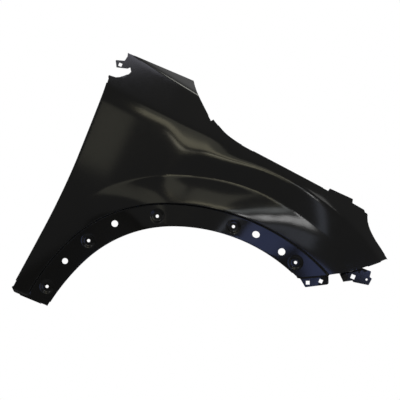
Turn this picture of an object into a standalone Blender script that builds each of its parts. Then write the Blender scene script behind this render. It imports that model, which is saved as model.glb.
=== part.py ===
"""Right-hand front fender of a car: one pressed steel sheet with its flanges.

The sheet is drawn in the plane of the car's side, with x forward and z up, in
millimetres from the centre of the wheel arch's crown arc.  A depth y, growing
inboard, lifts that drawing into the pressed form.  The finished part is moved
so that its origin is on the rail pad that carries it.
"""

import math

import bpy
import numpy as np
from mathutils import Matrix, Vector
from mathutils.geometry import delaunay_2d_cdt

NAME = "fender"
MM = 0.001

# Sheet and its bends
SHEET = 0.8
BEND_RADIUS = 2.5
BEND_STEPS = 2

# Wheel arch edge: three arcs that meet smoothly, angles in degrees from straight up
CROWN_RADIUS = 494.0
SHOULDER_RADIUS = 362.0
LEG_RADIUS = 615.0
SHOULDER_FROM = 22.3
LEG_FROM = 66.0
ARCH_FRONT = -22.3
SILL_HEIGHT = 112.0

# Recessed band along the arch, where the cladding sits
BAND_WIDTH = 66.0
BAND_SWING = 6.0
BAND_NARROWEST_AT = 8.0
BAND_PERIOD = 94.0
BAND_DEPTH = 9.0
BAND_WALL = 7.0
BAND_TILT = 0.2
BAND_REAR_TILT = 0.05
BAND_TILT_FADE = (8.0, 24.0)

# Flare round the arch, measured out from the arch edge
FLARE_OFFSET = 142.0
FLARE_SLOPE = 0.5
FLARE_RADIUS = 240.0
FLARE_END_RADIUS = 300.0
FLARE_SOFT = 2.0
FLARE_REAR_FADE = (25.0, 57.0)
FLARE_FRONT_FADE = (12.0, -16.0)

# Scooped wall between the flare and the haunch above it
SCOOP_HEIGHT = 67.0
SCOOP_SLOPE = 0.14
SCOOP_REAR_FADE = (-190.0, -280.0)
SCOOP_FRONT_FADE = (110.0, 300.0)

# Body side
CROWN_LINE = 560.0
SIDE_RADIUS = 2600.0
NOSE_FROM = 60.0
NOSE_RADIUS = 700.0
TAIL_FROM = -380.0
TAIL_RADIUS = 1200.0

# Shoulder line: its height at x = 0, its fall forward, and its droop over the nose
SHOULDER_LINE = 718.0
SHOULDER_FALL = 0.05
SHOULDER_DROOP = 0.00055
SHOULDER_SLOPE = 0.4
SHOULDER_SOFT = 13.0
SHOULDER_CRISP = 4.0
SHOULDER_CRISP_FROM = -200.0
SHOULDER_MERGE = (-200.0, -80.0)
HAUNCH_SLOPE = 0.25
HAUNCH_WIDTH = 28.0
HAUNCH_SPREAD = 60.0
HAUNCH_SPREAD_ENDS = (-330.0, -190.0)

# Fold along the top edge
FOLD_LINE = 784.4
FOLD_FALL = 0.152
FOLD_SLOPE = 1.6
FOLD_SOFT = 2.5

# Foot and door edge
FOOT_STEP = 124.0
FOOT_WALL = 9.0
FOOT_REAR = -540.0
FOOT_BOTTOM_REAR = -527.0
DOOR_EDGE = (
    (-519.0, 768.0), (-515.0, 720.0), (-512.0, 600.0), (-511.0, 486.0),
    (-516.0, 373.0), (-526.0, 261.0), (FOOT_REAR, FOOT_STEP + 2.0),
)

# Edge beside the bonnet, straight between these two places
BONNET_FRONT = (172.0, 717.0)
BONNET_REAR = (-85.0, 739.5)

# Bumper tabs: set back from the skin and turned to face forward and down
TAB_SETBACK = 12.0
TAB_WALL = 5.0
TAB_SLOPE = 0.3
TAB_GAP_AT = 280.0
LOWER_TAB_HINGE = ((187.0, 458.0), (267.0, 500.5))
LOWER_TAB_BEND = 245.0
LOWER_TAB_BEND_SLOPE = 0.3
UPPER_TAB_HINGE = ((291.0, 515.5), (346.0, 553.0))
UPPER_TAB_BEND = 310.0
UPPER_TAB_BEND_SLOPE = -0.8

# Other edges, each from the end of the one before: curves as x, z, corners with a fillet radius
TAB_CORNERS = (
    (195.0, 459.0, 3.0), (218.0, 442.0, 3.0), (275.5, 475.0, 7.0), (264.5, 499.5, 5.0),
    (290.5, 515.0, 4.0), (310.0, 497.5, 4.0), (332.5, 510.5, 1.5), (336.5, 507.5, 1.5),
    (380.0, 516.0, 3.0), (381.5, 537.0, 2.0), (374.0, 538.5, 2.0), (371.5, 555.0, 3.0),
)
BUMPER_EDGE = ((372.5, 576.5), (402.0, 604.0))
HEADLAMP_EDGE = ((375.0, 623.0), (342.0, 645.5), (315.5, 670.5), (301.5, 696.0))
NOSE_CORNERS = (
    (298.5, 700.0, 2.0), (291.5, 700.5, 2.0), (286.5, 706.5, 2.0),
    (248.5, 711.0, 2.0), (245.5, 722.0, 2.0), (174.0, 724.0, 2.0),
)
WING_EDGE = ((-120.0, 744.5), (-157.0, 754.5), (-200.5, 776.0))
WING_NOTCH = (-205.5, 770.5)
COWL_SIDE_EDGE = ((-240.5, 800.0), (-274.5, 830.5), (-295.0, 856.0))
TOP_REAR = -495.5
REAR_TAB_CORNERS = (
    (-492.5, 846.0, 2.0), (-495.0, 831.5, 3.0), (-519.0, 823.5, 2.0),
    (-508.5, 805.5, 2.0), (-478.0, 814.5, 2.0), (-473.0, 821.5, 3.0),
)
NOTCH_EDGE = ((-467.5, 811.0), (-472.0, 800.5), (-484.5, 788.0), (-502.0, 778.5))
NOTCH_CORNER = (-519.5, 777.0, 2.0)

# Flanges, all turned inboard
ARCH_LIP = 9.0
SILL_FLANGE = 28.0
DOOR_RETURN = 15.0
PILLAR_EAR = 20.0
PILLAR_EAR_HEIGHT = 46.0
PILLAR_EARS = (300.0, 590.0)
NOTCH_LIP = 5.0
EDGE_RETURN = 11.0
WING_RETURN = 15.0
COWL_FLANGE = 28.0
GUTTER_TOP = 6.0
GUTTER_DROP = 17.0
RAIL_FLANGE = 13.0
RAIL_PAD = 15.0
RAIL_PAD_LENGTH = 44.0
RAIL_PADS = (-55.0, 35.0, 125.0)
MAIN_PAD = 35.0
PAD_POINT_ASIDE = 13.0
BOLT_HOLE = 4.5
SILL_BOLT_AT = -478.0
SILL_BOLT_SHARE = 0.55
EAR_SLANT = 8.0
RELIEF = 12.0
FLANGE_REACH = {
    "arch": ARCH_LIP, "sill": SILL_FLANGE, "door": DOOR_RETURN, "notch": NOTCH_LIP,
    "bumper": EDGE_RETURN, "headlamp": EDGE_RETURN, "wing": WING_RETURN,
    "cowl_side": WING_RETURN, "top": COWL_FLANGE,
}
FLANGED = set(FLANGE_REACH) | {"bonnet"}

# Holes in the band: angle along the arch, distance out from its edge, width, length
DIMPLES = ((77.1, 32.2), (59.0, 36.8), (29.1, 30.8), (3.7, 28.1), (-18.5, 28.4))
DIMPLE_FLAT = 12.0
DIMPLE_RIM = 21.0
DIMPLE_DEPTH = 6.0
CLIP_HOLE = 4.5
PLAIN_HOLES = (
    (69.4, 38.6, 16.5, 16.5),
    (46.5, 41.5, 18.5, 18.5),
    (-3.6, 32.0, 21.5, 18.5),
    (-13.1, 27.6, 20.0, 20.0),
)

# Square and round holes of the tabs: x, z, size, turn in degrees
TAB_HOLES = (
    (-501.5, 816.5, 9.5, 0.0),
    (219.5, 456.5, 10.5, 22.8),
    (251.5, 474.5, 10.5, 0.0),
    (330.0, 521.0, 12.0, 0.0),
)
SMALL_HOLE = (368.5, 528.5, 3.0)

# Spacing of the sheet's points
GRID = 27.0
EDGE_STEP = 16.0
ROW_STEP = 19.0
CLEARANCE = 7.0
GRID_GAP = 0.6
ROUND_SIDES = 16
FILLET_LIMIT = 0.49

# Rows of points that carry the bends: how far from each bend's line, and between which ends
WALL_ENDS = (-26.0, 82.0)
RIDGE_ROWS = (12.0, 3.0, -1.0, -6.0, -15.0, -29.0, -46.0)
RIDGE_ENDS = (-45.0, 62.0)
SCOOP_ROWS = (9.0, 2.0, -5.0, -13.0)
SCOOP_ENDS = (-25.0, 27.0)
SHOULDER_ROWS = (-11.0, -4.0, 0.0, 4.0, 11.0)
HAUNCH_ROWS = (-12.0, -3.0, 6.0)
SHOULDER_ENDS = (-520.0, 260.0)
FOLD_ROWS = (-5.0, 1.0, 7.0)
FOLD_ENDS = (-430.0, -270.0)
FOOT_ENDS = (-535.0, -430.0)
TAB_BEND_STEP = 6.0
LOWER_TAB_BEND_ENDS = (450.0, 490.0)
UPPER_TAB_BEND_ENDS = (490.0, 522.0)
HINGE_MARGIN = 0.5

BLACK_COAT = (0.010, 0.010, 0.010, 1.0)


def smooth(value, start, end):
    """Go from 0 at start to 1 at end with no corner at either."""
    t = np.clip((np.asarray(value, float) - start) / (end - start), 0.0, 1.0)
    return t * t * (3.0 - 2.0 * t)


def ramp(distance, softness):
    """Stay at 0 before the line and rise with slope 1 after it, rounded at the line."""
    return softness * np.logaddexp(0.0, np.asarray(distance, float) / softness)


def aim(angle):
    """Unit direction at an angle from straight up, growing towards the rear."""
    turn = np.radians(angle)
    return np.stack([-np.sin(turn), np.cos(turn)], axis=-1)


SHOULDER_CENTRE = aim(SHOULDER_FROM) * (CROWN_RADIUS - SHOULDER_RADIUS)
LEG_CENTRE = SHOULDER_CENTRE + aim(LEG_FROM) * (SHOULDER_RADIUS - LEG_RADIUS)


def arch_point(angle, offset=0.0):
    """Point at a distance outside the arch edge, where the edge faces that angle."""
    angle = np.atleast_1d(np.asarray(angle, float))
    out = aim(angle)
    crown = out * (CROWN_RADIUS + offset)
    shoulder = SHOULDER_CENTRE + out * (SHOULDER_RADIUS + offset)
    leg = LEG_CENTRE + out * (LEG_RADIUS + offset)
    points = np.where((angle > SHOULDER_FROM)[:, None], shoulder, crown)
    return np.where((angle > LEG_FROM)[:, None], leg, points)


def arch_place(x, z):
    """Distance outside the arch edge and the angle that the edge faces there."""
    crown_angle = np.degrees(np.arctan2(-x, z))
    distance, angle = np.hypot(x, z) - CROWN_RADIUS, crown_angle
    for centre, radius, start in (
        (SHOULDER_CENTRE, SHOULDER_RADIUS, SHOULDER_FROM),
        (LEG_CENTRE, LEG_RADIUS, LEG_FROM),
    ):
        dx, dz = x - centre[0], z - centre[1]
        here = np.degrees(np.arctan2(-dx, dz))
        past = (here > start) & (angle >= start - 1.0e-9)
        distance = np.where(past, np.hypot(dx, dz) - radius, distance)
        angle = np.where(past, here, angle)
    return distance, angle


def band_width(angle):
    """Width of the recessed band, which swells behind the crown."""
    turn = 2.0 * np.pi * (angle - BAND_NARROWEST_AT) / BAND_PERIOD
    return BAND_WIDTH - BAND_SWING * np.cos(turn)


def shoulder_height(x):
    """Height of the shoulder line along the body side."""
    return SHOULDER_LINE - SHOULDER_FALL * x - SHOULDER_DROOP * np.maximum(x, 0.0) ** 2


def haunch_bend(x):
    """Height of the haunch's lower bend along the body side."""
    width = HAUNCH_WIDTH + HAUNCH_SPREAD * smooth(x, *HAUNCH_SPREAD_ENDS)
    return shoulder_height(x) - width


def fold_height(x):
    """Height of the fold under the top edge."""
    return FOLD_LINE - FOLD_FALL * x


def body_depth(x, z):
    """Body side without the arch: crown, nose, tail, shoulder and top fold."""
    side = (z - CROWN_LINE) ** 2 / (2.0 * SIDE_RADIUS)
    nose = np.maximum(x - NOSE_FROM, 0.0) ** 2 / (2.0 * NOSE_RADIUS)
    tail = np.maximum(TAIL_FROM - x, 0.0) ** 2 / (2.0 * TAIL_RADIUS)
    own_bend = 1.0 - smooth(x, *SHOULDER_MERGE)
    shoulder = SHOULDER_SLOPE * own_bend * ramp(z - shoulder_height(x), SHOULDER_CRISP)
    fold = FOLD_SLOPE * ramp(z - fold_height(x), FOLD_SOFT)
    return side + nose + tail + shoulder + fold


def haunch_depth(x, z, distance):
    """Bevel down to the scoop over the wheel, which takes in the shoulder's bend ahead."""
    over_line = z - haunch_bend(x)
    over_arc = distance - FLARE_OFFSET - SCOOP_HEIGHT
    over = over_line - ramp(over_line - over_arc, SHOULDER_SOFT)
    crisp = smooth(x, SHOULDER_CRISP_FROM, 0.0)
    softness = SHOULDER_SOFT + (SHOULDER_CRISP - SHOULDER_SOFT) * crisp
    slope = HAUNCH_SLOPE + SHOULDER_SLOPE * smooth(x, *SHOULDER_MERGE)
    return slope * ramp(over, softness)


def scoop_depth(x, z, distance):
    """Wall that leans in under the haunch, down to the flare."""
    below_arc = FLARE_OFFSET + SCOOP_HEIGHT - distance
    below_line = shoulder_height(x) - z
    below = below_line - ramp(below_line - below_arc, SHOULDER_CRISP)
    below = below - ramp(below - SCOOP_HEIGHT, FLARE_SOFT)
    lean = SCOOP_SLOPE * ramp(below, SHOULDER_CRISP)
    under = ramp(FLARE_OFFSET - distance, FLARE_SOFT) / (FLARE_OFFSET - BAND_WIDTH)
    lean = lean * (1.0 - np.minimum(under, 1.0))
    fade = smooth(x, SCOOP_REAR_FADE[1], SCOOP_REAR_FADE[0])
    return lean * fade * smooth(x, SCOOP_FRONT_FADE[1], SCOOP_FRONT_FADE[0])


def flare_depth(distance, angle):
    """Flare that stands out of the body side, negative because it is outboard."""
    inside = ramp(FLARE_OFFSET - distance, FLARE_SOFT)
    fade = smooth(angle, FLARE_REAR_FADE[1], FLARE_REAR_FADE[0])
    fade = fade * smooth(angle, FLARE_FRONT_FADE[1], FLARE_FRONT_FADE[0])
    turned = np.minimum(inside, FLARE_OFFSET - BAND_WIDTH)
    bend = fade / FLARE_RADIUS + (1.0 - fade) / FLARE_END_RADIUS
    tuck = (inside * turned - turned ** 2 / 2.0) * bend
    return tuck - FLARE_SLOPE * fade * inside


def skin_depth(x, z):
    """Pressed skin before its dimples and tabs."""
    distance, angle = arch_place(x, z)
    width = band_width(angle)
    in_band = 1.0 - smooth(distance, width - BAND_WALL / 2.0, width + BAND_WALL / 2.0)
    in_foot = 1.0 - smooth(z, FOOT_STEP - FOOT_WALL, FOOT_STEP)
    recess = BAND_DEPTH * (1.0 - (1.0 - in_band) * (1.0 - in_foot))
    tilt = BAND_TILT + (BAND_REAR_TILT - BAND_TILT) * smooth(angle, *BAND_TILT_FADE)
    recess = recess + tilt * ramp(width - distance, BAND_WALL / 4.0)
    depth = body_depth(x, z) + flare_depth(distance, angle) + recess
    return depth + haunch_depth(x, z, distance) + scoop_depth(x, z, distance)


def tangent_plane(x, z, at):
    """Plane that touches the skin at one place, as depths at x, z."""
    step = 0.5
    here = skin_depth(*at)
    slope_x = (skin_depth(at[0] + step, at[1]) - skin_depth(at[0] - step, at[1])) / (2.0 * step)
    slope_z = (skin_depth(at[0], at[1] + step) - skin_depth(at[0], at[1] - step)) / (2.0 * step)
    return here + slope_x * (x - at[0]) + slope_z * (z - at[1])


def hinge_frame(x, z, hinge):
    """How far along a tab's hinge line a place is, and how far beyond it."""
    start, end = np.array(hinge)
    along = (end - start) / np.hypot(*(end - start))
    run = (x - start[0]) * along[0] + (z - start[1]) * along[1]
    beyond = (x - start[0]) * along[1] - (z - start[1]) * along[0]
    return run, beyond


def tab_depth(x, z, depth, hinge, first, bend, bend_slope, here):
    """Set one bumper tab back past its hinge line, with a bend across it."""
    start, end = np.array(hinge)
    run, beyond = hinge_frame(x, z, hinge)
    last = float(skin_depth(*end))
    plane = first + (last - first) * run / np.hypot(*(end - start))
    plane = plane + TAB_SETBACK + TAB_SLOPE * beyond
    past_bend = np.maximum((x - bend) * np.sign(bend_slope), 0.0)
    plane = plane + abs(bend_slope) * past_bend
    share = smooth(beyond, 0.0, TAB_WALL) * here
    return depth + (plane - depth) * share


def depth_at(x, z):
    """Inboard depth of the outer face, with dimples and tabs."""
    depth = skin_depth(x, z)
    for angle, offset in DIMPLES:
        centre = arch_point(angle, offset)[0]
        radius = np.hypot(x - centre[0], z - centre[1])
        share = 1.0 - smooth(radius, DIMPLE_FLAT, DIMPLE_RIM)
        floor = tangent_plane(x, z, centre) + DIMPLE_DEPTH
        depth = depth + (floor - depth) * share
    lower_start = float(skin_depth(*LOWER_TAB_HINGE[0])) - BAND_DEPTH
    lower_here = smooth(x, LOWER_TAB_HINGE[0][0] - TAB_WALL, LOWER_TAB_HINGE[0][0]) * (x < TAB_GAP_AT)
    depth = tab_depth(
        x, z, depth, LOWER_TAB_HINGE, lower_start, LOWER_TAB_BEND, LOWER_TAB_BEND_SLOPE, lower_here
    )
    upper_start = float(skin_depth(*UPPER_TAB_HINGE[0]))
    return tab_depth(
        x, z, depth, UPPER_TAB_HINGE, upper_start, UPPER_TAB_BEND, UPPER_TAB_BEND_SLOPE, x > TAB_GAP_AT
    )


def curve(points, step):
    """Smooth curve through a few points, sampled about every step."""
    points = np.asarray(points, float)
    ends = np.vstack([2 * points[0] - points[1], points, 2 * points[-1] - points[-2]])
    out = []
    for i in range(len(points) - 1):
        a, b, c, d = ends[i : i + 4]
        count = max(1, round(np.hypot(*(c - b)) / step))
        for t in np.arange(count) / count:
            linear = (c - a) * t
            square = (2 * a - 5 * b + 4 * c - d) * t ** 2
            cube = (3 * b - 3 * c + d - a) * t ** 3
            out.append(b + (linear + square + cube) / 2.0)
    return np.array(out + [points[-1]])


def rounded(corners):
    """Straight run through corners of x, z and fillet radius."""
    points = []
    for i, (x, z, radius) in enumerate(corners):
        here = np.array([x, z])
        if radius == 0.0 or i in (0, len(corners) - 1):
            points.append(here)
            continue
        back = np.array(corners[i - 1][:2]) - here
        ahead = np.array(corners[i + 1][:2]) - here
        back_length, ahead_length = np.hypot(*back), np.hypot(*ahead)
        back, ahead = back / back_length, ahead / ahead_length
        half = math.acos(np.clip(back @ ahead, -1.0, 1.0)) / 2.0
        trim = min(radius / math.tan(half), back_length * FILLET_LIMIT, ahead_length * FILLET_LIMIT)
        start, end = here + back * trim, here + ahead * trim
        for t in (0.0, 0.5, 1.0):
            points.append((1 - t) ** 2 * start + 2 * t * (1 - t) * here + t ** 2 * end)
    return np.array(points)


def door_edge(z):
    """How far forward the door edge lies at a height."""
    points = curve(DOOR_EDGE, EDGE_STEP)
    return float(np.interp(-z, -points[:, 1], points[:, 0]))


def spaced(points, step):
    """Add points along straight stretches so that none is much longer than step."""
    out = [points[0]]
    for start, end in zip(points[:-1], points[1:]):
        count = max(1, round(np.hypot(*(end - start)) / step))
        out.extend(start + (end - start) * t / count for t in range(1, count + 1))
    return np.array(out)


def outline_runs(step):
    """The blank's edge, anticlockwise from outside, as named runs that join end to end."""
    foot_angle = math.degrees(math.acos((SILL_HEIGHT - LEG_CENTRE[1]) / LEG_RADIUS))
    arch_count = round(math.radians(foot_angle - ARCH_FRONT) * CROWN_RADIUS / step)
    arch = arch_point(np.linspace(foot_angle, ARCH_FRONT, arch_count))
    tabs = rounded([(*arch[-1], 0.0), *TAB_CORNERS, (*UPPER_TAB_HINGE[1], 0.0)])
    bumper = curve([UPPER_TAB_HINGE[1], *BUMPER_EDGE], step)
    headlamp = curve([BUMPER_EDGE[-1], *HEADLAMP_EDGE], step)
    nose_top = rounded([(*HEADLAMP_EDGE[-1], 0.0), *NOSE_CORNERS, (*BONNET_FRONT, 0.0)])
    bonnet = spaced(np.array([BONNET_FRONT, BONNET_REAR]), step)
    wing = curve([BONNET_REAR, *WING_EDGE], step)
    wing_tip = np.array([WING_EDGE[-1], WING_NOTCH])
    cowl_side = curve([WING_NOTCH, *COWL_SIDE_EDGE], step)
    top_front, top_rear = COWL_SIDE_EDGE[-1], (TOP_REAR, COWL_SIDE_EDGE[-1][1])
    top = spaced(np.array([top_front, top_rear]), step)
    rear_tab = rounded([(*top_rear, 0.0), *REAR_TAB_CORNERS, (*NOTCH_EDGE[0], 0.0)])
    notch = curve(NOTCH_EDGE, step / 2.0)
    notch_corner = rounded([(*NOTCH_EDGE[-1], 0.0), NOTCH_CORNER, (*DOOR_EDGE[0], 0.0)])
    door = curve(DOOR_EDGE, step)
    foot = rounded([
        (*DOOR_EDGE[-1], 0.0), (FOOT_REAR, FOOT_STEP, 1.5), (FOOT_BOTTOM_REAR, SILL_HEIGHT, 0.0),
    ])
    sill = spaced(np.array([(FOOT_BOTTOM_REAR, SILL_HEIGHT), arch[0]]), step)
    return [
        ("sill", sill), ("arch", arch), ("tabs", tabs), ("bumper", bumper),
        ("headlamp", headlamp), ("nose_top", nose_top), ("bonnet", bonnet), ("wing", wing),
        ("wing_tip", wing_tip), ("cowl_side", cowl_side), ("top", top), ("rear_tab", rear_tab),
        ("notch", notch), ("notch_corner", notch_corner), ("door", door), ("foot", foot),
    ]


def ear(place, centre, length):
    """1 across an ear or pad, falling to 0 past its ends."""
    return np.clip((length / 2.0 + EAR_SLANT - np.abs(place - centre)) / EAR_SLANT, 0.0, 1.0)


def straight_leg(name, points):
    """How far inboard the plain flange of a run reaches at each of its points."""
    reach = np.full(len(points), FLANGE_REACH[name])
    if name == "door":
        for centre in PILLAR_EARS:
            reach = reach + PILLAR_EAR * ear(points[:, 1], centre, PILLAR_EAR_HEIGHT)
    return reach


def flange_section(name, points, slope):
    """Rows of a flange, each as how far out of the edge and how far inboard it is."""
    tilt = np.arctan(slope)
    rows = []
    for t in np.arange(1, BEND_STEPS + 1) / BEND_STEPS:
        turn = tilt + (np.pi / 2.0 - tilt) * t
        out = BEND_RADIUS * (np.sin(turn) - np.sin(tilt))
        rows.append((out, BEND_RADIUS * (np.cos(tilt) - np.cos(turn))))
    out, back = rows[-1]
    if name != "bonnet":
        rows.append((out, back + straight_leg(name, points)))
        return rows
    pad = sum(ear(points[:, 0], centre, RAIL_PAD_LENGTH) for centre in RAIL_PADS)
    wall = back + GUTTER_TOP
    rows.append((out, wall))
    rows.append((out - BEND_RADIUS, wall + BEND_RADIUS))
    rows.append((out - GUTTER_DROP + BEND_RADIUS, wall + BEND_RADIUS))
    rows.append((out - GUTTER_DROP, wall + 2.0 * BEND_RADIUS))
    rows.append((out - GUTTER_DROP, wall + 2.0 * BEND_RADIUS + RAIL_FLANGE + RAIL_PAD * pad))
    return rows


def outward(points):
    """Unit normals of an open run that has the sheet on its left."""
    along = np.gradient(points, axis=0)
    along = along / np.hypot(along[:, 0], along[:, 1])[:, None]
    return np.stack([along[:, 1], -along[:, 0]], axis=1)


def edge_slope(points, normals):
    """How fast the sheet runs inboard as it nears its edge."""
    step = 1.0
    before = points - normals * step
    return (depth_at(*points.T) - depth_at(*before.T)) / step


def inset(points, normals):
    """Edge points moved in by the width that the flange's bend takes up."""
    tilt = np.arctan(edge_slope(points, normals))
    return points - normals * (BEND_RADIUS * (1.0 - np.sin(tilt)))[:, None]


def blank(step):
    """Outline points in order, with each flanged run's points and normals by index."""
    points, flanged = [], []
    for name, run in outline_runs(step):
        run = run[:-1]
        if name in FLANGED:
            normals = outward(run)
            length = np.concatenate([[0.0], np.cumsum(np.hypot(*np.diff(run, axis=0).T))])
            inner = (length >= RELIEF) & (length <= length[-1] - RELIEF)
            run = inset(run, normals)
            indices = len(points) + np.flatnonzero(inner)
            flanged.append((name, indices, normals[inner]))
        points.extend(run)
    return np.array(points), flanged


def hole_loop(x, z, width, height, turn, sides):
    """Closed loop of a round, oval or, with four sides, square hole."""
    angles = 2.0 * np.pi * (np.arange(sides) + 0.5) / sides
    reach = 1.0 / math.cos(math.pi / sides)
    loop = np.stack([np.cos(angles) * width, np.sin(angles) * height], axis=1) * reach / 2.0
    c, s = math.cos(math.radians(turn)), math.sin(math.radians(turn))
    return loop @ np.array([[c, s], [-s, c]]) + np.array([x, z])


def hole_loops(sides):
    """Every hole punched through the blank."""
    loops = []
    for angle, offset in DIMPLES:
        centre = arch_point(angle, offset)[0]
        loops.append(hole_loop(*centre, 2.0 * CLIP_HOLE, 2.0 * CLIP_HOLE, 0.0, sides))
    for angle, offset, width, height in PLAIN_HOLES:
        centre = arch_point(angle, offset)[0]
        loops.append(hole_loop(*centre, width, height, angle, sides))
    for x, z, size, turn in TAB_HOLES:
        loops.append(hole_loop(x, z, size, size, turn, 4))
    x, z, radius = SMALL_HOLE
    loops.append(hole_loop(x, z, 2.0 * radius, 2.0 * radius, 0.0, sides))
    return loops


def inside(points, loop):
    """Which points lie inside a closed loop."""
    x, z = points[:, 0][:, None], points[:, 1][:, None]
    x0, z0 = loop[:, 0], loop[:, 1]
    x1, z1 = np.roll(x0, -1), np.roll(z0, -1)
    spans = (z0 > z) != (z1 > z)
    rise = np.where(z1 == z0, 1.0, z1 - z0)
    crossing = x0 + (z - z0) * (x1 - x0) / rise
    return (np.sum(spans & (x < crossing), axis=1) % 2).astype(bool)


def edge_distance(points, loop):
    """Distance from each point to a closed loop."""
    start, along = loop, np.roll(loop, -1, axis=0) - loop
    offset = points[:, None, :] - start
    t = np.clip((offset * along).sum(2) / (along ** 2).sum(1), 0.0, 1.0)
    return np.sqrt(((offset - t[..., None] * along) ** 2).sum(2)).min(1)


def arch_rows(offsets, first, last, step):
    """Points along the arch at several distances out from a varying line."""
    angles = np.arange(first, last, math.degrees(step / CROWN_RADIUS))
    return np.vstack([arch_point(angles, offset(angles)[:, None]) for offset in offsets])


def level_rows(height, offsets, first, last, step):
    """Points along a line across the body side, at several heights off it."""
    x = np.arange(first, last, step)
    return np.vstack([np.stack([x, height(x) + offset], axis=1) for offset in offsets])


def hinge_rows(hinge, offsets, step):
    """Points along a tab's hinge line, at several distances beyond it."""
    start, end = np.array(hinge)
    length = np.hypot(*(end - start))
    along = (end - start) / length
    run = np.arange(0.0, length + step, step)
    line = start + along * run[:, None]
    return np.vstack([line + np.array([along[1], -along[0]]) * offset for offset in offsets])


def bend_row(x, low, high, step):
    """Points up a tab along its bend."""
    z = np.arange(low, high, step)
    return np.stack([np.full(len(z), x), z], axis=1)


def tab_rows(step):
    """Points along the bends and hinge lines of the bumper tabs."""
    bands = [
        bend_row(LOWER_TAB_BEND, *LOWER_TAB_BEND_ENDS, TAB_BEND_STEP),
        bend_row(UPPER_TAB_BEND, *UPPER_TAB_BEND_ENDS, TAB_BEND_STEP),
    ]
    beyond = (-HINGE_MARGIN, TAB_WALL / 2.0, TAB_WALL + HINGE_MARGIN)
    for hinge in (LOWER_TAB_HINGE, UPPER_TAB_HINGE):
        bands.append(hinge_rows(hinge, beyond, step / 2.0))
    return bands


def dimple_rings():
    """Points round each dimple, on its floor's edge, its wall and its rim."""
    turns = np.linspace(0.0, 360.0, ROUND_SIDES, endpoint=False)
    radii = (DIMPLE_FLAT, (DIMPLE_FLAT + DIMPLE_RIM) / 2.0, DIMPLE_RIM)
    rings = []
    for angle, offset in DIMPLES:
        centre = arch_point(angle, offset)[0]
        rings.append(np.vstack([centre + aim(turns) * radius for radius in radii]))
    return rings


def feature_points(step):
    """Bands of points that carry the form's bends, most important first."""
    half = BAND_WALL / 2.0
    wall = [lambda a, d=d: band_width(a) + d for d in (-half, 0.0, half)]
    ridge = [lambda a, d=d: np.full(len(a), FLARE_OFFSET + d) for d in RIDGE_ROWS]
    top = FLARE_OFFSET + SCOOP_HEIGHT
    scoop = [lambda a, d=d: np.full(len(a), top + d) for d in SCOOP_ROWS]
    foot = [FOOT_STEP - FOOT_WALL, FOOT_STEP - FOOT_WALL / 2.0, FOOT_STEP]
    return tab_rows(step) + dimple_rings() + [
        arch_rows(wall, *WALL_ENDS, step),
        arch_rows(ridge, *RIDGE_ENDS, step),
        level_rows(shoulder_height, SHOULDER_ROWS, *SHOULDER_ENDS, step),
        arch_rows(scoop, *SCOOP_ENDS, step),
        level_rows(haunch_bend, HAUNCH_ROWS, *SHOULDER_ENDS, step),
        level_rows(fold_height, FOLD_ROWS, *FOLD_ENDS, step),
        level_rows(lambda x: 0.0 * x, foot, *FOOT_ENDS, step),
    ]


def grid_points(outline, spacing):
    """Even staggered points over the whole blank."""
    low, high = outline.min(axis=0), outline.max(axis=0)
    rows = np.arange(low[1], high[1], spacing * math.sqrt(0.75))
    points = []
    for i, z in enumerate(rows):
        x = np.arange(low[0] + (i % 2) * spacing / 2.0, high[0], spacing)
        points.append(np.stack([x, np.full(len(x), z)], axis=1))
    return np.vstack(points)


def fill_points(outline, holes, spacing, step):
    """Points inside the blank, clear of its edges, its holes and one another."""
    kept = np.zeros((0, 2))
    for band, gap in [(band, CLEARANCE) for band in feature_points(step)] + [
        (grid_points(outline, spacing), spacing * GRID_GAP)
    ]:
        band = band[inside(band, outline)]
        band = band[edge_distance(band, outline) > CLEARANCE / 2.0]
        for loop in holes:
            band = band[~inside(band, loop)]
            band = band[edge_distance(band, loop) > CLEARANCE / 3.0]
        if len(kept):
            away = np.sqrt(((band[:, None, :] - kept) ** 2).sum(2)).min(1)
            band = band[away > gap]
        kept = np.vstack([kept, band])
    return kept


def triangulate(outline, holes, fill):
    """Triangles of the blank, with its outline and holes kept as edges."""
    points, edges = [], []
    for loop in [outline] + holes:
        first, count = len(points), len(loop)
        points.extend(loop)
        edges.extend((first + i, first + (i + 1) % count) for i in range(count))
    points.extend(fill)
    flat = [Vector((float(x), float(z))) for x, z in points]
    result = delaunay_2d_cdt(flat, edges, [], 0, 1.0e-4)
    places = np.array([tuple(v) for v in result[0]])
    faces = np.array(result[2])
    centres = places[faces].mean(axis=1)
    keep = inside(centres, outline)
    for loop in holes:
        keep &= ~inside(centres, loop)
    index = {old: new for new, olds in enumerate(result[3]) for old in olds}
    return places, faces[keep], index


def sheet_mesh(name, spacing, step, row_step, sides):
    """Outer face of the pressed sheet and its flanges, as an open surface."""
    outline, flanged = blank(step)
    holes = hole_loops(sides)
    fill = fill_points(outline, holes, spacing, row_step)
    places, faces, index = triangulate(outline, holes, fill)
    depth = depth_at(places[:, 0], places[:, 1])
    verts = [(x, y, z) for (x, z), y in zip(places, depth)]
    polygons = [tuple(int(i) for i in face) for face in faces]
    for run, indices, normals in flanged:
        chain = [index[i] for i in indices]
        base = outline[indices]
        base_depth = depth_at(base[:, 0], base[:, 1])
        slope = edge_slope(base, normals)
        for out, back in flange_section(run, base, slope):
            first = len(verts)
            moved = base + normals * out[:, None]
            verts.extend(zip(moved[:, 0], base_depth + back, moved[:, 1]))
            ahead = list(range(first, first + len(chain)))
            for i in range(len(chain) - 1):
                polygons.append((chain[i + 1], chain[i], ahead[i], ahead[i + 1]))
            chain = ahead
    mesh = bpy.data.meshes.new(name)
    mesh.from_pydata([tuple(c * MM for c in v) for v in verts], [], polygons)
    mesh.validate()
    return mesh


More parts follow.
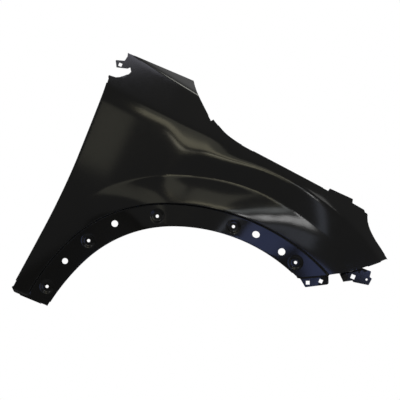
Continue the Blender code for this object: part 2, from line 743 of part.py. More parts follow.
def bonnet_line(x):
    """Blank's edge beside the bonnet at x, with the depth there and its outward normal."""
    start, end = np.array(BONNET_FRONT), np.array(BONNET_REAR)
    along = (end - start) / np.hypot(*(end - start))
    normal = np.array([along[1], -along[0]])
    place = start + (end - start) * (x - start[0]) / (end[0] - start[0])
    place = inset(place[None, :], normal[None, :])[0]
    return place, float(depth_at(*place)), normal


def rail_pad(x):
    """Middle of the rail flange's upper face at a pad, and the flange's normal."""
    place, depth, normal = bonnet_line(x)
    points, normals = place[None, :], normal[None, :]
    rows = flange_section("bonnet", points, edge_slope(points, normals))
    out, back = float(rows[-1][0][0]), float(rows[-1][1][0])
    inner = back - (RAIL_FLANGE + RAIL_PAD) / 2.0
    x_pad, z_pad = place + normal * out
    return Vector((x_pad, depth + inner, z_pad)), Vector((normal[0], 0.0, normal[1]))


def part_origin():
    """Point under the main rail pad, beside its bolt hole, where the part is held."""
    place, normal = rail_pad(MAIN_PAD)
    along = Vector((normal.z, 0.0, -normal.x))
    return place - normal * SHEET + along * PAD_POINT_ASIDE


def bolt_places():
    """Middle and axis of every bolt hole in the flanges."""
    places = [rail_pad(x) for x in RAIL_PADS]
    for z in PILLAR_EARS:
        x = door_edge(z)
        depth = float(depth_at(x + BEND_RADIUS, z))
        middle = BEND_RADIUS + DOOR_RETURN + PILLAR_EAR / 2.0
        places.append((Vector((x, depth + middle, z)), Vector((1.0, 0.0, 0.0))))
    depth = float(depth_at(SILL_BOLT_AT, SILL_HEIGHT + BEND_RADIUS))
    middle = BEND_RADIUS + SILL_FLANGE * SILL_BOLT_SHARE
    places.append((Vector((SILL_BOLT_AT, depth + middle, SILL_HEIGHT)), Vector((0.0, 0.0, 1.0))))
    return places


def black_coat():
    """Black dip coat of the pressed steel."""
    material = bpy.data.materials.new("black_coat")
    material.use_nodes = True
    shader = material.node_tree.nodes["Principled BSDF"]
    shader.inputs["Base Color"].default_value = BLACK_COAT
    shader.inputs["Metallic"].default_value = 0.0
    shader.inputs["Roughness"].default_value = 0.3
    return material


def bolt_cutter(name, place, axis, collection):
    """Cylinder that cuts one bolt hole."""
    bpy.ops.mesh.primitive_cylinder_add(
        vertices=ROUND_SIDES, radius=BOLT_HOLE * MM, depth=4.0 * BOLT_HOLE * MM, location=place * MM
    )
    cutter = bpy.context.object
    cutter.name = name
    cutter.rotation_euler = axis.to_track_quat("Z", "Y").to_euler()
    cutter.hide_render = True
    cutter.display_type = "WIRE"
    for owner in list(cutter.users_collection):
        owner.objects.unlink(cutter)
    collection.objects.link(cutter)
    return cutter


def build():
    """Make the fender, move its origin to the main pad and cut its bolt holes."""
    for item in list(bpy.data.objects):
        bpy.data.objects.remove(item)
    parts = bpy.data.collections.new(NAME)
    cutters = bpy.data.collections.new(NAME + "_cutters")
    bpy.context.scene.collection.children.link(parts)
    bpy.context.scene.collection.children.link(cutters)
    origin = part_origin()

    mesh = sheet_mesh("panel", GRID, EDGE_STEP, ROW_STEP, ROUND_SIDES)
    mesh.transform(Matrix.Translation(-origin * MM))
    mesh.materials.append(black_coat())
    mesh.shade_smooth()
    mesh.set_sharp_from_angle(angle=math.radians(35.0))
    panel = bpy.data.objects.new("panel", mesh)
    parts.objects.link(panel)

    solid = panel.modifiers.new("sheet", "SOLIDIFY")
    solid.thickness = SHEET * MM
    solid.offset = -1.0
    solid.use_even_offset = True
    for number, (place, axis) in enumerate(bolt_places(), 1):
        cutter = bolt_cutter(f"bolt_{number}", place - origin, axis, cutters)
        cut = panel.modifiers.new(cutter.name, "BOOLEAN")
        cut.operation = "DIFFERENCE"
        cut.solver = "EXACT"
        cut.object = cutter
    return panel


build()
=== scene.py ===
"""Looks of the car fender: the pressed sheet at full fineness, in its black dip coat.

The form follows the CAD part on a finer mesh, with a few of its slopes and fades set a
little differently.  It is drawn in the plane of the car's side, with x forward and z up,
in millimetres from the centre of the wheel arch's crown arc, and a depth y, growing
inboard, lifts it into the pressed form.
The studio is laid out in metres, in the part's own frame.
"""

import math

import bpy
import numpy as np
from mathutils import Matrix, Quaternion, Vector
from mathutils.geometry import delaunay_2d_cdt
from mathutils.kdtree import KDTree


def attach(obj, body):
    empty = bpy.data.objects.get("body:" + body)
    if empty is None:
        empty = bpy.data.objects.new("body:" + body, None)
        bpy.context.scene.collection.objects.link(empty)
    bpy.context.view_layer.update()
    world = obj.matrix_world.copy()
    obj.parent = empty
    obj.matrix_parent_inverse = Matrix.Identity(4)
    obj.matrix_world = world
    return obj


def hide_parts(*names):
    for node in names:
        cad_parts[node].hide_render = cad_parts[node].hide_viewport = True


MM = 0.001

# Fineness of the mesh, in millimetres
GRID = 6.0
EDGE_STEP = 4.0
ROW_STEP = 5.0
CLEARANCE = 2.4
MERGE_WITHIN = 1.0e-4

# Least distance to other points, as a share of the clearance or of the grid
ROW_GAP = 0.45
GRID_GAP = 0.62

# Steps in a bend, points in a fillet, sides of a round hole, and points worked on at a time
BEND_STEPS = 5
FILLET_POINTS = 7
ROUND_SIDES = 32
BLOCK = 4000

# Longest fillet as a share of its wall, and the angle from which an edge is sharp
FILLET_LIMIT = 0.49
SHARP_ANGLE = 32.0

# How far the skin is probed for its slope, and how exactly angles are compared
PLANE_STEP = 0.5
EDGE_REACH = 1.0
ANGLE_SLACK = 1.0e-9

# Rows of points that carry the bends: how far from each bend's line, and between which ends
WALL_ROWS = np.linspace(-0.65, 0.65, 9)
WALL_ENDS = (-30.0, 84.0)
RIDGE_ROWS = (9.0, 6.0, 3.5, 2.0, 1.0, 0.0, -1.0, -2.0, -4.0, -7.0, -11.0)
RIDGE_ENDS = (-50.0, 75.0)
SCOOP_ROWS = np.arange(-12.0, 13.0, 3.0)
SCOOP_ENDS = (-30.0, 30.0)
SHOULDER_ROWS = np.arange(-12.0, 13.0, 2.0)
HAUNCH_ROWS = np.arange(-12.0, 13.0, 4.0)
SHOULDER_ENDS = (-520.0, 260.0)
FOLD_ROWS = np.arange(-9.0, 12.0, 1.5)
FOLD_ENDS = (-450.0, -240.0)
FOOT_ROWS = np.linspace(-0.2, 1.2, 8)
FOOT_ENDS = (-535.0, -430.0)
HINGE_ROWS = np.arange(-1.0, 6.5, 1.0)
RING_POINTS = 48
RING_STEP = 1.8

# Sheet and its bends
SHEET = 0.8
BEND_RADIUS = 2.5

# Wheel arch edge: three arcs that meet smoothly, angles in degrees from straight up
CROWN_RADIUS = 494.0
SHOULDER_RADIUS = 362.0
LEG_RADIUS = 615.0
SHOULDER_FROM = 22.3
LEG_FROM = 66.0
ARCH_FRONT = -22.3
SILL_HEIGHT = 112.0

# Recessed band along the arch, where the cladding sits
BAND_WIDTH = 66.0
BAND_SWING = 6.0
BAND_NARROWEST_AT = 8.0
BAND_PERIOD = 94.0
BAND_DEPTH = 9.0
BAND_WALL = 7.0
BAND_TILT = 0.18
BAND_REAR_TILT = 0.07
BAND_TILT_FADE = (8.0, 24.0)

# Flare round the arch, measured out from the arch edge
FLARE_OFFSET = 142.0
FLARE_SLOPE = 0.499
FLARE_RADIUS = 240.0
FLARE_END_RADIUS = 300.0
FLARE_SOFT = 2.0
FLARE_REAR_FADE = (24.0, 58.0)
FLARE_FRONT_FADE = (12.0, -16.0)

# Scooped wall between the flare and the haunch above it
SCOOP_HEIGHT = 67.0
SCOOP_SLOPE = 0.16
SCOOP_REAR_FADE = (-190.0, -280.0)
SCOOP_FRONT_FADE = (110.0, 300.0)

# Body side
CROWN_LINE = 560.0
SIDE_RADIUS = 2600.0
NOSE_FROM = 60.0
NOSE_RADIUS = 700.0
TAIL_FROM = -380.0
TAIL_RADIUS = 1200.0

# Shoulder line: its height at x = 0, its fall forward, and its droop over the nose
SHOULDER_LINE = 718.0
SHOULDER_FALL = 0.05
SHOULDER_DROOP = 0.00055
SHOULDER_SLOPE = 0.4
SHOULDER_SOFT = 13.0
SHOULDER_CRISP = 4.0
SHOULDER_CRISP_FROM = -200.0
SHOULDER_MERGE = (-200.0, -80.0)
HAUNCH_SLOPE = 0.25
HAUNCH_WIDTH = 28.0
HAUNCH_SPREAD = 60.0
HAUNCH_SPREAD_ENDS = (-330.0, -190.0)

# Fold along the top edge
FOLD_LINE = 784.4
FOLD_FALL = 0.152
FOLD_SLOPE = 1.6
FOLD_SOFT = 2.5

# Foot and door edge
FOOT_STEP = 124.0
FOOT_WALL = 9.0
FOOT_REAR = -540.0
FOOT_BOTTOM_REAR = -527.0
FOOT_FILLET = 1.5
DOOR_EDGE = (
    (-519.0, 768.0), (-515.0, 720.0), (-512.0, 600.0), (-511.0, 486.0),
    (-516.0, 373.0), (-526.0, 261.0), (FOOT_REAR, FOOT_STEP + 2.0),
)

# Edge beside the bonnet, straight between these two places
BONNET_FRONT = (172.0, 717.0)
BONNET_REAR = (-85.0, 739.5)

# Bumper tabs: set back from the skin and turned to face forward and down
TAB_SETBACK = 12.0
TAB_WALL = 5.0
TAB_SLOPE = 0.3
TAB_GAP_AT = 280.0
LOWER_TAB_HINGE = ((187.0, 458.0), (267.0, 500.5))
LOWER_TAB_BEND = 245.0
LOWER_TAB_BEND_SLOPE = 0.3
UPPER_TAB_HINGE = ((291.0, 515.5), (346.0, 553.0))
UPPER_TAB_BEND = 310.0
UPPER_TAB_BEND_SLOPE = -0.8

# Other edges, each from the end of the one before: curves as x, z, corners with a fillet radius
TAB_CORNERS = (
    (195.0, 459.0, 3.0), (218.0, 442.0, 3.0), (275.5, 475.0, 7.0), (264.5, 499.5, 5.0),
    (290.5, 515.0, 4.0), (310.0, 497.5, 4.0), (332.5, 510.5, 1.5), (336.5, 507.5, 1.5),
    (380.0, 516.0, 3.0), (381.5, 537.0, 2.0), (374.0, 538.5, 2.0), (371.5, 555.0, 3.0),
)
BUMPER_EDGE = ((372.5, 576.5), (402.0, 604.0))
HEADLAMP_EDGE = ((375.0, 623.0), (342.0, 645.5), (315.5, 670.5), (301.5, 696.0))
NOSE_CORNERS = (
    (298.5, 700.0, 2.0), (291.5, 700.5, 2.0), (286.5, 706.5, 2.0),
    (248.5, 711.0, 2.0), (245.5, 722.0, 2.0), (174.0, 724.0, 2.0),
)
WING_EDGE = ((-120.0, 744.5), (-157.0, 754.5), (-200.5, 776.0))
WING_NOTCH = (-205.5, 770.5)
COWL_SIDE_EDGE = ((-240.5, 800.0), (-274.5, 830.5), (-295.0, 856.0))
TOP_REAR = -495.5
REAR_TAB_CORNERS = (
    (-492.5, 846.0, 2.0), (-495.0, 831.5, 3.0), (-519.0, 823.5, 2.0),
    (-508.5, 805.5, 2.0), (-478.0, 814.5, 2.0), (-473.0, 821.5, 3.0),
)
NOTCH_EDGE = ((-467.5, 811.0), (-472.0, 800.5), (-484.5, 788.0), (-502.0, 778.5))
NOTCH_CORNER = (-519.5, 777.0, 2.0)

# Flanges, all turned inboard
ARCH_LIP = 9.0
SILL_FLANGE = 28.0
DOOR_RETURN = 15.0
PILLAR_EAR = 20.0
PILLAR_EAR_HEIGHT = 46.0
PILLAR_EARS = (300.0, 590.0)
NOTCH_LIP = 5.0
EDGE_RETURN = 11.0
WING_RETURN = 15.0
COWL_FLANGE = 28.0
GUTTER_TOP = 6.0
GUTTER_DROP = 17.0
RAIL_FLANGE = 13.0
RAIL_PAD = 15.0
RAIL_PAD_LENGTH = 44.0
RAIL_PADS = (-55.0, 35.0, 125.0)
MAIN_PAD = 35.0
PAD_POINT_ASIDE = 13.0
BOLT_HOLE = 4.5
SILL_BOLT_AT = -478.0
SILL_BOLT_SHARE = 0.55
EAR_SLANT = 8.0
RELIEF = 13.0
FLANGE_REACH = {
    "arch": ARCH_LIP, "sill": SILL_FLANGE, "door": DOOR_RETURN, "notch": NOTCH_LIP,
    "bumper": EDGE_RETURN, "headlamp": EDGE_RETURN, "wing": WING_RETURN,
    "cowl_side": WING_RETURN, "top": COWL_FLANGE,
}
FLANGED = set(FLANGE_REACH) | {"bonnet"}

# Holes in the band: angle along the arch, distance out from its edge, width, length
DIMPLES = ((77.1, 32.2), (59.0, 36.8), (29.1, 30.8), (3.7, 28.1), (-18.5, 28.4))
DIMPLE_FLAT = 12.0
DIMPLE_RIM = 21.0
DIMPLE_DEPTH = 6.0
CLIP_HOLE = 4.5
PLAIN_HOLES = (
    (69.4, 38.6, 16.5, 16.5),
    (46.5, 41.5, 18.5, 18.5),
    (-3.6, 32.0, 21.5, 18.5),
    (-13.1, 27.6, 20.0, 20.0),
)

# Square and round holes of the tabs: x, z, size, turn in degrees
TAB_HOLES = (
    (-501.5, 816.5, 9.5, 0.0),
    (219.5, 456.5, 10.5, 22.8),
    (251.5, 474.5, 10.5, 0.0),
    (330.0, 521.0, 12.0, 0.0),
)
SMALL_HOLE = (368.5, 528.5, 3.0)

# Dip coat: its colour range, its gloss range, and noises by scale, detail and roughness
COAT_DARK = (0.0008, 0.0008, 0.0007, 1.0)
COAT_PALE = (0.0014, 0.0013, 0.0011, 1.0)
COAT_SPECULAR = 0.1
COAT_ROUGHNESS = (0.12, 0.19)
TINT_NOISE = (9.0, 4.0, 0.55)
TINT_ENDS = (0.35, 0.7)
GLOSS_NOISE = (60.0, 6.0, 0.6)
PEEL_NOISE = (420.0, 2.0, 0.5)
PEEL_STRENGTH = 0.12
PEEL_HEIGHT = 0.0002

# Bolt cutters are longer than any flange is thick
CUTTER_LENGTH = 18.0

# Floor
FLOOR_RADIUS = 1.6
FLOOR_HEIGHT = -1.1
FLOOR_SIDES = 96
FLOOR_DARK = (0.833, 0.833, 0.833, 1.0)
FLOOR_PALE = (0.85, 0.85, 0.85, 1.0)
FLOOR_ROUGHNESS = 0.9
FLOOR_NOISE = (2.0, 2.0, 0.5)

# Camera: square to the car's side and rolled
AIM = (-0.1951, 0.0, -0.1569)
VIEW_BACK = (0.0, -1.0, 0.0)
FRAME_WIDTH = 1.12
LENS = 600.0
SENSOR = 36.0
ROLL = 22.8
CLIP_END = 80.0

# World: white to the camera and in reflections, soft grey as light
WHITE = (1.0, 1.0, 1.0, 1.0)
WORLD_LEVEL = 0.25

# Lamps by name, place, width and height, power and colour, each aimed at the panel's middle.
# Warm light comes mainly from above and the rear, blue light mainly from low in front.
LAMPS = (
    ("key_above", (-0.20, -1.25, 0.60), (0.60, 0.20), 4.0, (1.00, 0.93, 0.65)),
    ("shoulder", (-0.25, -0.75, 0.55), (0.45, 0.30), 1.2, (1.00, 0.97, 0.75)),
    ("crest", (0.15, -1.00, 0.35), (0.20, 0.15), 1.0, (0.95, 1.00, 1.00)),
    ("haunch", (-0.10, -1.10, 0.20), (0.20, 0.25), 1.6, (1.00, 0.95, 0.65)),
    ("scoop", (-0.20, -1.30, 0.30), (0.13, 0.10), 0.6, (1.00, 0.94, 0.75)),
    ("rear_quarter", (-0.65, -1.00, 0.00), (0.30, 0.45), 1.0, (1.00, 0.97, 0.74)),
    ("flare_front", (0.38, -1.28, 0.20), (0.10, 0.22), 3.0, (1.00, 1.00, 1.00)),
    ("flare_low", (0.43, -1.28, -0.25), (0.14, 0.40), 0.8, (0.75, 0.82, 1.00)),
    ("band_blue", (0.40, -0.65, -0.70), (0.40, 0.50), 4.0, (0.35, 0.45, 1.00)),
    ("tab_blue", (1.00, -0.60, -0.30), (0.30, 0.08), 1.0, (0.35, 0.45, 1.00)),
    ("fold_above", (-0.60, -0.10, 1.25), (0.35, 0.40), 3.2, (0.85, 0.85, 1.00)),
    ("rail_behind", (-0.20, 0.20, 1.15), (0.30, 0.20), 3.4, (1.00, 1.00, 0.91)),
    ("rear_edge", (-1.15, -0.50, 0.10), (0.30, 0.40), 2.0, (1.00, 1.00, 0.97)),
    ("nose_edge", (0.50, -0.55, 0.70), (0.30, 0.30), 1.8, (1.00, 1.00, 0.97)),
)


def smooth(value, start, end):
    """Go from 0 at start to 1 at end with no corner at either."""
    t = np.clip((np.asarray(value, float) - start) / (end - start), 0.0, 1.0)
    return t * t * (3.0 - 2.0 * t)


def ramp(distance, softness):
    """Stay at 0 before the line and rise with slope 1 after it, rounded at the line."""
    return softness * np.logaddexp(0.0, np.asarray(distance, float) / softness)


def aim(angle):
    """Unit direction at an angle from straight up, growing towards the rear."""
    turn = np.radians(angle)
    return np.stack([-np.sin(turn), np.cos(turn)], axis=-1)


SHOULDER_CENTRE = aim(SHOULDER_FROM) * (CROWN_RADIUS - SHOULDER_RADIUS)
LEG_CENTRE = SHOULDER_CENTRE + aim(LEG_FROM) * (SHOULDER_RADIUS - LEG_RADIUS)


def arch_point(angle, offset=0.0):
    """Point at a distance outside the arch edge, where the edge faces that angle."""
    angle = np.atleast_1d(np.asarray(angle, float))
    out = aim(angle)
    crown = out * (CROWN_RADIUS + offset)
    shoulder = SHOULDER_CENTRE + out * (SHOULDER_RADIUS + offset)
    leg = LEG_CENTRE + out * (LEG_RADIUS + offset)
    points = np.where((angle > SHOULDER_FROM)[:, None], shoulder, crown)
    return np.where((angle > LEG_FROM)[:, None], leg, points)


def arch_place(x, z):
    """Distance outside the arch edge and the angle that the edge faces there."""
    crown_angle = np.degrees(np.arctan2(-x, z))
    distance, angle = np.hypot(x, z) - CROWN_RADIUS, crown_angle
    for centre, radius, start in (
        (SHOULDER_CENTRE, SHOULDER_RADIUS, SHOULDER_FROM),
        (LEG_CENTRE, LEG_RADIUS, LEG_FROM),
    ):
        dx, dz = x - centre[0], z - centre[1]
        here = np.degrees(np.arctan2(-dx, dz))
        past = (here > start) & (angle >= start - ANGLE_SLACK)
        distance = np.where(past, np.hypot(dx, dz) - radius, distance)
        angle = np.where(past, here, angle)
    return distance, angle


def band_width(angle):
    """Width of the recessed band, which swells behind the crown."""
    turn = 2.0 * np.pi * (angle - BAND_NARROWEST_AT) / BAND_PERIOD
    return BAND_WIDTH - BAND_SWING * np.cos(turn)


def shoulder_height(x):
    """Height of the shoulder line along the body side."""
    return SHOULDER_LINE - SHOULDER_FALL * x - SHOULDER_DROOP * np.maximum(x, 0.0) ** 2


def haunch_bend(x):
    """Height of the haunch's lower bend along the body side."""
    width = HAUNCH_WIDTH + HAUNCH_SPREAD * smooth(x, *HAUNCH_SPREAD_ENDS)
    return shoulder_height(x) - width


def fold_height(x):
    """Height of the fold under the top edge."""
    return FOLD_LINE - FOLD_FALL * x


def body_depth(x, z):
    """Body side without the arch: crown, nose, tail, shoulder and top fold."""
    side = (z - CROWN_LINE) ** 2 / (2.0 * SIDE_RADIUS)
    nose = np.maximum(x - NOSE_FROM, 0.0) ** 2 / (2.0 * NOSE_RADIUS)
    tail = np.maximum(TAIL_FROM - x, 0.0) ** 2 / (2.0 * TAIL_RADIUS)
    own_bend = 1.0 - smooth(x, *SHOULDER_MERGE)
    shoulder = SHOULDER_SLOPE * own_bend * ramp(z - shoulder_height(x), SHOULDER_CRISP)
    fold = FOLD_SLOPE * ramp(z - fold_height(x), FOLD_SOFT)
    return side + nose + tail + shoulder + fold


def haunch_depth(x, z, distance):
    """Bevel down to the scoop over the wheel, which takes in the shoulder's bend ahead."""
    over_line = z - haunch_bend(x)
    over_arc = distance - FLARE_OFFSET - SCOOP_HEIGHT
    over = over_line - ramp(over_line - over_arc, SHOULDER_SOFT)
    crisp = smooth(x, SHOULDER_CRISP_FROM, 0.0)
    softness = SHOULDER_SOFT + (SHOULDER_CRISP - SHOULDER_SOFT) * crisp
    slope = HAUNCH_SLOPE + SHOULDER_SLOPE * smooth(x, *SHOULDER_MERGE)
    return slope * ramp(over, softness)


def scoop_depth(x, z, distance):
    """Wall that leans in under the haunch, down to the flare."""
    below_arc = FLARE_OFFSET + SCOOP_HEIGHT - distance
    below_line = shoulder_height(x) - z
    below = below_line - ramp(below_line - below_arc, SHOULDER_CRISP)
    below = below - ramp(below - SCOOP_HEIGHT, FLARE_SOFT)
    lean = SCOOP_SLOPE * ramp(below, SHOULDER_CRISP)
    under = ramp(FLARE_OFFSET - distance, FLARE_SOFT) / (FLARE_OFFSET - BAND_WIDTH)
    lean = lean * (1.0 - np.minimum(under, 1.0))
    fade = smooth(x, SCOOP_REAR_FADE[1], SCOOP_REAR_FADE[0])
    return lean * fade * smooth(x, SCOOP_FRONT_FADE[1], SCOOP_FRONT_FADE[0])


def flare_depth(distance, angle):
    """Flare that stands out of the body side, negative because it is outboard."""
    inside = ramp(FLARE_OFFSET - distance, FLARE_SOFT)
    fade = smooth(angle, FLARE_REAR_FADE[1], FLARE_REAR_FADE[0])
    fade = fade * smooth(angle, FLARE_FRONT_FADE[1], FLARE_FRONT_FADE[0])
    turned = np.minimum(inside, FLARE_OFFSET - BAND_WIDTH)
    bend = fade / FLARE_RADIUS + (1.0 - fade) / FLARE_END_RADIUS
    tuck = (inside * turned - turned ** 2 / 2.0) * bend
    return tuck - FLARE_SLOPE * fade * inside


def skin_depth(x, z):
    """Pressed skin before its dimples and tabs."""
    distance, angle = arch_place(x, z)
    width = band_width(angle)
    in_band = 1.0 - smooth(distance, width - BAND_WALL / 2.0, width + BAND_WALL / 2.0)
    in_foot = 1.0 - smooth(z, FOOT_STEP - FOOT_WALL, FOOT_STEP)
    recess = BAND_DEPTH * (1.0 - (1.0 - in_band) * (1.0 - in_foot))
    tilt = BAND_TILT + (BAND_REAR_TILT - BAND_TILT) * smooth(angle, *BAND_TILT_FADE)
    recess = recess + tilt * ramp(width - distance, BAND_WALL / 4.0)
    depth = body_depth(x, z) + flare_depth(distance, angle) + recess
    return depth + haunch_depth(x, z, distance) + scoop_depth(x, z, distance)


def tangent_plane(x, z, at):
    """Plane that touches the skin at one place, as depths at x, z."""
    here, step = skin_depth(*at), PLANE_STEP
    slope_x = (skin_depth(at[0] + step, at[1]) - skin_depth(at[0] - step, at[1])) / (2.0 * step)
    slope_z = (skin_depth(at[0], at[1] + step) - skin_depth(at[0], at[1] - step)) / (2.0 * step)
    return here + slope_x * (x - at[0]) + slope_z * (z - at[1])


def hinge_frame(x, z, hinge):
    """How far along a tab's hinge line a place is, and how far beyond it."""
    start, end = np.array(hinge)
    along = (end - start) / np.hypot(*(end - start))
    run = (x - start[0]) * along[0] + (z - start[1]) * along[1]
    beyond = (x - start[0]) * along[1] - (z - start[1]) * along[0]
    return run, beyond


def tab_depth(x, z, depth, hinge, first, bend, bend_slope, here):
    """Set one bumper tab back past its hinge line, with a bend across it."""
    start, end = np.array(hinge)
    run, beyond = hinge_frame(x, z, hinge)
    last = float(skin_depth(*end))
    plane = first + (last - first) * run / np.hypot(*(end - start))
    plane = plane + TAB_SETBACK + TAB_SLOPE * beyond
    past_bend = np.maximum((x - bend) * np.sign(bend_slope), 0.0)
    plane = plane + abs(bend_slope) * past_bend
    share = smooth(beyond, 0.0, TAB_WALL) * here
    return depth + (plane - depth) * share


def depth_at(x, z):
    """Inboard depth of the outer face, with dimples and tabs."""
    depth = skin_depth(x, z)
    for angle, offset in DIMPLES:
        centre = arch_point(angle, offset)[0]
        radius = np.hypot(x - centre[0], z - centre[1])
        share = 1.0 - smooth(radius, DIMPLE_FLAT, DIMPLE_RIM)
        floor = tangent_plane(x, z, centre) + DIMPLE_DEPTH
        depth = depth + (floor - depth) * share
    lower_start = float(skin_depth(*LOWER_TAB_HINGE[0])) - BAND_DEPTH
    lower_from = LOWER_TAB_HINGE[0][0]
    lower_here = smooth(x, lower_from - TAB_WALL, lower_from) * (x < TAB_GAP_AT)
    depth = tab_depth(
        x, z, depth, LOWER_TAB_HINGE, lower_start, LOWER_TAB_BEND, LOWER_TAB_BEND_SLOPE, lower_here
    )
    upper_start = float(skin_depth(*UPPER_TAB_HINGE[0]))
    return tab_depth(
        x, z, depth, UPPER_TAB_HINGE, upper_start, UPPER_TAB_BEND, UPPER_TAB_BEND_SLOPE, x > TAB_GAP_AT
    )


def curve(points, step):
    """Smooth curve through a few points, sampled about every step."""
    points = np.asarray(points, float)
    ends = np.vstack([2 * points[0] - points[1], points, 2 * points[-1] - points[-2]])
    out = []
    for i in range(len(points) - 1):
        a, b, c, d = ends[i : i + 4]
        count = max(1, round(np.hypot(*(c - b)) / step))
        for t in np.arange(count) / count:
            linear = (c - a) * t
            square = (2 * a - 5 * b + 4 * c - d) * t ** 2
            cube = (3 * b - 3 * c + d - a) * t ** 3
            out.append(b + (linear + square + cube) / 2.0)
    return np.array(out + [points[-1]])


def door_edge(z):
    """How far forward the door edge lies at a height."""
    points = curve(DOOR_EDGE, EDGE_STEP)
    return float(np.interp(-z, -points[:, 1], points[:, 0]))


def spaced(points, step):
    """Add points along straight stretches so that none is much longer than step."""
    out = [points[0]]
    for start, end in zip(points[:-1], points[1:]):
        count = max(1, round(np.hypot(*(end - start)) / step))
        out.extend(start + (end - start) * t / count for t in range(1, count + 1))
    return np.array(out)


def outline_runs(step):
    """The blank's edge, anticlockwise from outside, as named runs that join end to end."""
    foot_angle = math.degrees(math.acos((SILL_HEIGHT - LEG_CENTRE[1]) / LEG_RADIUS))
    arch_count = round(math.radians(foot_angle - ARCH_FRONT) * CROWN_RADIUS / step)
    arch = arch_point(np.linspace(foot_angle, ARCH_FRONT, arch_count))
    tabs = rounded([(*arch[-1], 0.0), *TAB_CORNERS, (*UPPER_TAB_HINGE[1], 0.0)])
    bumper = curve([UPPER_TAB_HINGE[1], *BUMPER_EDGE], step)
    headlamp = curve([BUMPER_EDGE[-1], *HEADLAMP_EDGE], step)
    nose_top = rounded([(*HEADLAMP_EDGE[-1], 0.0), *NOSE_CORNERS, (*BONNET_FRONT, 0.0)])
    bonnet = spaced(np.array([BONNET_FRONT, BONNET_REAR]), step)
    wing = curve([BONNET_REAR, *WING_EDGE], step)
    wing_tip = np.array([WING_EDGE[-1], WING_NOTCH])
    cowl_side = curve([WING_NOTCH, *COWL_SIDE_EDGE], step)
    top_front, top_rear = COWL_SIDE_EDGE[-1], (TOP_REAR, COWL_SIDE_EDGE[-1][1])
    top = spaced(np.array([top_front, top_rear]), step)
    rear_tab = rounded([(*top_rear, 0.0), *REAR_TAB_CORNERS, (*NOTCH_EDGE[0], 0.0)])
    notch = curve(NOTCH_EDGE, step / 2.0)
    notch_corner = rounded([(*NOTCH_EDGE[-1], 0.0), NOTCH_CORNER, (*DOOR_EDGE[0], 0.0)])
    door = curve(DOOR_EDGE, step)
    foot = rounded([
        (*DOOR_EDGE[-1], 0.0), (FOOT_REAR, FOOT_STEP, FOOT_FILLET), (FOOT_BOTTOM_REAR, SILL_HEIGHT, 0.0),
    ])
    sill = spaced(np.array([(FOOT_BOTTOM_REAR, SILL_HEIGHT), arch[0]]), step)
    return [
        ("sill", sill), ("arch", arch), ("tabs", tabs), ("bumper", bumper),
        ("headlamp", headlamp), ("nose_top", nose_top), ("bonnet", bonnet), ("wing", wing),
        ("wing_tip", wing_tip), ("cowl_side", cowl_side), ("top", top), ("rear_tab", rear_tab),
        ("notch", notch), ("notch_corner", notch_corner), ("door", door), ("foot", foot),
    ]


def ear(place, centre, length):
    """1 across an ear or pad, falling to 0 past its ends."""
    return np.clip((length / 2.0 + EAR_SLANT - np.abs(place - centre)) / EAR_SLANT, 0.0, 1.0)


def straight_leg(name, points):
    """How far inboard the plain flange of a run reaches at each of its points."""
    reach = np.full(len(points), FLANGE_REACH[name])
    if name == "door":
        for centre in PILLAR_EARS:
            reach = reach + PILLAR_EAR * ear(points[:, 1], centre, PILLAR_EAR_HEIGHT)
    return reach


def flange_section(name, points, slope):
    """Rows of a flange, each as how far out of the edge and how far inboard it is."""
    tilt = np.arctan(slope)
    rows = []
    for t in np.arange(1, BEND_STEPS + 1) / BEND_STEPS:
        turn = tilt + (np.pi / 2.0 - tilt) * t
        out = BEND_RADIUS * (np.sin(turn) - np.sin(tilt))
        rows.append((out, BEND_RADIUS * (np.cos(tilt) - np.cos(turn))))
    out, back = rows[-1]
    if name != "bonnet":
        rows.append((out, back + straight_leg(name, points)))
        return rows
    pad = sum(ear(points[:, 0], centre, RAIL_PAD_LENGTH) for centre in RAIL_PADS)
    wall = back + GUTTER_TOP
    rows.append((out, wall))
    rows.append((out - BEND_RADIUS, wall + BEND_RADIUS))
    rows.append((out - GUTTER_DROP + BEND_RADIUS, wall + BEND_RADIUS))
    rows.append((out - GUTTER_DROP, wall + 2.0 * BEND_RADIUS))
    rows.append((out - GUTTER_DROP, wall + 2.0 * BEND_RADIUS + RAIL_FLANGE + RAIL_PAD * pad))
    return rows


def outward(points):
    """Unit normals of an open run that has the sheet on its left."""
    along = np.gradient(points, axis=0)
    along = along / np.hypot(along[:, 0], along[:, 1])[:, None]
    return np.stack([along[:, 1], -along[:, 0]], axis=1)


def edge_slope(points, normals):
    """How fast the sheet runs inboard as it nears its edge."""
    before = points - normals * EDGE_REACH
    return (depth_at(*points.T) - depth_at(*before.T)) / EDGE_REACH


def inset(points, normals):
    """Edge points moved in by the width that the flange's bend takes up."""
    tilt = np.arctan(edge_slope(points, normals))
    return points - normals * (BEND_RADIUS * (1.0 - np.sin(tilt)))[:, None]


def blank(step):
    """Outline points in order, with each flanged run's points and normals by index."""
    points, flanged = [], []
    for name, run in outline_runs(step):
        run = run[:-1]
        if name in FLANGED:
            normals = outward(run)
            length = np.concatenate([[0.0], np.cumsum(np.hypot(*np.diff(run, axis=0).T))])
            inner = (length >= RELIEF) & (length <= length[-1] - RELIEF)
            run = inset(run, normals)
            indices = len(points) + np.flatnonzero(inner)
            flanged.append((name, indices, normals[inner]))
        points.extend(run)
    return np.array(points), flanged


def hole_loop(x, z, width, height, turn, sides):
    """Closed loop of a round, oval or, with four sides, square hole."""
    angles = 2.0 * np.pi * (np.arange(sides) + 0.5) / sides
    reach = 1.0 / math.cos(math.pi / sides)
    loop = np.stack([np.cos(angles) * width, np.sin(angles) * height], axis=1) * reach / 2.0
    c, s = math.cos(math.radians(turn)), math.sin(math.radians(turn))
    return loop @ np.array([[c, s], [-s, c]]) + np.array([x, z])


